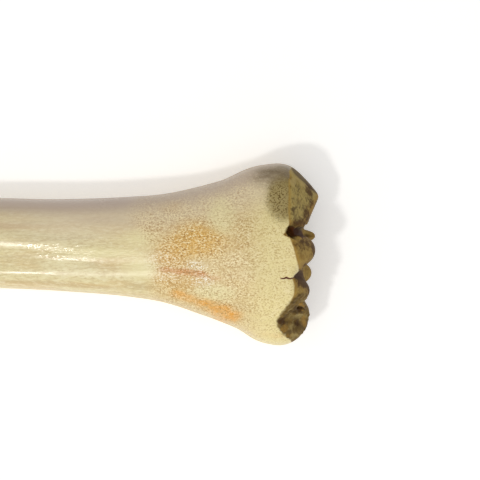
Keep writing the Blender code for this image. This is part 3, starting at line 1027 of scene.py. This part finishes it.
def grained(tree, tone, mask, grains):
    """The same tone with the fine dark and light grains of spongy bone showing through, and painted glints on
    single grains in the polished places.
    """
    stains = most(tree, fact(tree, "gold"), fact(tree, "rust"))
    bright_stains = most(tree, fact(tree, "rust"), fact(tree, "orange"))
    # Grains show less under the painted shade of the outer side, under the olive and under the umber, which
    # is partly painted shade
    shaded = product(tree, fact(tree, "shaded"), 0.7)
    hidden = most(tree, shaded, fact(tree, "olive"), fact(tree, "umber_and_shade"))
    patchy = total(tree, rise(tree, noise(tree, "grain_patches"), 0.35, 0.62, 0.6), 0.6)
    bare = less(tree, 1.0, product(tree, hidden, 0.85))
    shown = product(tree, mask["spongy"], bare, fact(tree, "grainy"), patchy)
    amount = product(tree, total(tree, product(tree, stains, 0.3), 0.55), shown)
    dark = product(tree, rise(tree, grains, 0.50, 0.38), amount)
    brightness = less(tree, 0.85, product(tree, bright_stains, 0.45))
    light = product(tree, rise(tree, grains, 0.51, 0.61), shown, brightness)
    tone = mix(tree, light, mix(tree, dark, tone, GRAIN), LIGHT_GRAIN)
    # Painted glints on single grains in the polished places
    painted_glints = product(tree, rise(tree, grains, 0.54, 0.60), fact(tree, "glossy_with_painted_glints"))
    spots = product(tree, rise(tree, noise(tree, "spots"), 0.52, 0.62), fact(tree, "mottled"))
    return mix(tree, spots, mix(tree, painted_glints, tone, PAINTED_GLINT), SPOT)


def joint_tone(tree, mask):
    """Olive brown joint surface, clouded dark, with amber edges, a dark worn corner that is partly painted
    shade, and painted shade darkening its steep faces.
    """
    steep = fact(tree, "steep")
    # Painted shade: steep faces that turn from the light are darker
    tone = mix(tree, rise(tree, steep, 0.35, 0.90, 0.75), JOINT, JOINT_DARK)
    tone = glazed(tree, tone, JOINT_LAYERS)
    tone = mix(tree, product(tree, mask["edge"], 0.4), tone, AMBER)
    # Painted shade, darkest on the steepest faces
    return mix(tree, rise(tree, steep, 0.80, 0.98, 0.7), tone, JOINT_DARK)


def crack_line(tree):
    """Share from 0 to 1 of the thin crack, which narrows towards its inner end."""
    across = add(tree, "ShaderNodeMath", {0: fact(tree, "crack_across")}, operation="ABSOLUTE").outputs[0]
    inside = fact(tree, "crack_inside")
    widening = {"Value": inside, "From Max": CRACK_LINE[0], "To Min": CRACK_LINE[1], "To Max": CRACK_LINE[2]}
    half_width = add(tree, "ShaderNodeMapRange", widening).outputs["Result"]
    line = rise(tree, less(tree, across, half_width), 0.14, -0.08)
    return product(tree, line, rise(tree, inside, 0.0, 0.5))


def joint_stained(tree, tone, mask):
    """The same tone with the stains of the joint surface, and dirt and painted shade in its clefts, recesses
    and pit.
    """
    cloud = product(tree, less(tree, noise(tree, "joint_stain_clouds"), 0.5), JOINT_STAIN_CLOUDS)
    rough = most(tree, mask["joint"], mask["notch"])
    for name, colour, strength in JOINT_STAINS:
        share = rise(tree, total(tree, fact(tree, name), cloud), 0.2, 0.8, strength)
        tone = mix(tree, product(tree, share, rough), tone, colour)
    thinned = less(tree, 0.95, product(tree, mask["notch"], 0.6))
    # Dirt and painted shade in the clefts and closed-in places
    tone = mix(tree, product(tree, mask["dirt_and_shade"], thinned, mask["joint"]), tone, CLEFT_DIRT_AND_SHADE)
    # Dirt and painted shade in the pit
    pit = rise(tree, total(tree, fact(tree, "pit"), cloud), 0.2, 0.8, 0.95)
    return mix(tree, product(tree, pit, mask["joint"]), tone, PIT_DIRT_AND_SHADE)


def base_colour(tree, mask):
    """The colour all over the bone."""
    grains = noise(tree, "grains")
    tone = grained(tree, stained(tree, shaft_tone(tree, mask), grains), mask, grains)
    tone = mix(tree, mask["joint"], tone, joint_tone(tree, mask))
    tone = mix(tree, mask["notch"], tone, glazed(tree, NOTCH_TONE, NOTCH_LAYERS))
    return mix(tree, crack_line(tree), joint_stained(tree, tone, mask), CRACK_TONE)


def relief(tree, mask):
    """Height of the fine surface, in millimetres: long scratches, short dashes, grains and ripples."""
    shares = {
        "scratches": 1.0,
        "dashes": mask["satin"],
        "grains": most(tree, mask["spongy"], mask["notch"]),
        "ripples": fact(tree, "rippled"),
    }
    parts = []
    for name, share in shares.items():
        parts.append(product(tree, noise(tree, name), RELIEF_HEIGHTS[name], share))
    return total(tree, *parts)


def polish(tree, mask):
    """How much clear polish with a broad sheen lies on the bone: full on the shaft and none on the ends."""
    steep = rise(tree, fact(tree, "steep"), 0.45, 0.85, 0.85)
    worn = product(tree, mask["satin"], 0.35)
    worn = most(tree, worn, mask["joint"], mask["notch"], mask["spongy"], mask["dirt_and_shade"], steep)
    return product(tree, less(tree, 1.0, worn), POLISH_WEIGHT)


def dullness(tree, mask):
    """How much the bone spreads its shine: little on the shaft, more in the flare, most at the joint."""
    rough = total(tree, product(tree, mask["satin"], SATIN_ROUGHNESS), SHAFT_ROUGHNESS)
    rough = less(tree, rough, product(tree, fact(tree, "glossy_with_painted_glints"), GLOSSY_SHARE))
    rough = most(tree, rough, rise(tree, fact(tree, "steep"), 0.55, 0.92, 0.6))
    return most(tree, rough, *(product(tree, mask[name], amount) for name, amount in ROUGH_PLACES))


def bone_material():
    """Polished bone with its stains, grains and joint surfaces, dirt and painted shade in its hollows,
    painted shade on its turned sides and painted glints.
    """
    material = bpy.data.materials.new("polished_bone_finish")
    material.use_nodes = True
    tree = material.node_tree
    shader = tree.nodes["Principled BSDF"]
    mask = masks(tree)
    tree.links.new(base_colour(tree, mask), shader.inputs["Base Color"])
    tree.links.new(dullness(tree, mask), shader.inputs["Roughness"])
    tree.links.new(polish(tree, mask), shader.inputs["Coat Weight"])
    shader.inputs["Specular IOR Level"].default_value = SHINE_LEVEL
    shader.inputs["Coat Roughness"].default_value = POLISH_ROUGHNESS
    shader.inputs["Coat IOR"].default_value = POLISH_IOR
    bump = add(tree, "ShaderNodeBump", {"Height": relief(tree, mask), "Strength": 1.0, "Distance": MM})
    tree.links.new(bump.outputs["Normal"], shader.inputs["Normal"])
    return material


def make_bone():
    """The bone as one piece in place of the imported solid."""
    mesh = build_mesh()
    surface_facts(mesh)
    mesh.materials.append(bone_material())
    piece = bpy.data.objects.new("leg_bone", mesh)
    bpy.context.scene.collection.objects.link(piece)
    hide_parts("bone")
    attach(piece, "root")
    return piece


# The floor, the camera and the lights, in metres
FLOOR_SIZE = 6.0
FLOOR_GAP = 0.0002
CAMERA_PLACE = (0.2365, 0.00609, 0.447)
CAMERA_LENS = 72.45
CAMERA_SENSOR = 36.0
LIGHT_TARGET = (0.17, 0.0, 0.03)
# Each light: name, direction from the target, distance, side, watts, colour
LIGHTS = (
    ("key_light", (-0.36, -0.33, 1.0), 1.3, 0.09, 4.0, (1.0, 0.99, 0.96)),
    ("front_light", (-0.2, -1.0, 0.55), 2.0, 2.0, 6.4, (1.0, 0.97, 0.90)),
    ("top_light", (0.0, -0.1, 1.0), 1.8, 1.6, 9.3, (1.0, 0.99, 0.95)),
)
WORLD_COLOUR = (1.0, 0.97, 0.94, 1.0)
WORLD_STRENGTH = 0.36


def make_floor():
    """A plain pale floor under the bone."""
    material = bpy.data.materials.new("pale_floor")
    material.use_nodes = True
    shader = material.node_tree.nodes["Principled BSDF"]
    shader.inputs["Base Color"].default_value = linear(FLOOR_TONE)
    shader.inputs["Roughness"].default_value = 0.9
    shader.inputs["Emission Color"].default_value = linear(FLOOR_TONE)
    shader.inputs["Emission Strength"].default_value = FLOOR_GLOW
    bm = bmesh.new()
    bmesh.ops.create_grid(bm, x_segments=1, y_segments=1, size=FLOOR_SIZE / 2)
    bmesh.ops.translate(bm, verts=bm.verts, vec=(0, 0, -FLOOR_GAP))
    mesh = bpy.data.meshes.new("floor")
    bm.to_mesh(mesh)
    bm.free()
    mesh.materials.append(material)
    floor = bpy.data.objects.new("floor", mesh)
    bpy.context.scene.collection.objects.link(floor)


def make_lights():
    """A small key light that draws the thin highlights, a broad front light and an even sky."""
    target = Vector(LIGHT_TARGET)
    for name, direction, distance, side, watts, colour in LIGHTS:
        data = bpy.data.lights.new(name, "AREA")
        data.size = side
        data.energy = watts
        data.color = colour
        light = bpy.data.objects.new(name, data)
        back = Vector(direction).normalized()
        light.location = target + back * distance
        light.rotation_euler = back.to_track_quat("Z", "Y").to_euler()
        bpy.context.scene.collection.objects.link(light)
    world = bpy.data.worlds.new("studio")
    world.use_nodes = True
    background = world.node_tree.nodes["Background"]
    background.inputs["Color"].default_value = WORLD_COLOUR
    background.inputs["Strength"].default_value = WORLD_STRENGTH
    bpy.context.scene.world = world


def make_camera():
    """The camera straight above the carpal end, as in the photograph."""
    data = bpy.data.cameras.new("camera")
    data.sensor_width = CAMERA_SENSOR
    data.lens = CAMERA_LENS
    camera = bpy.data.objects.new("camera", data)
    camera.location = CAMERA_PLACE
    bpy.context.scene.collection.objects.link(camera)
    bpy.context.scene.camera = camera


make_floor()
make_lights()
make_camera()
make_bone()
bpy.context.scene.view_settings.view_transform = "Standard"
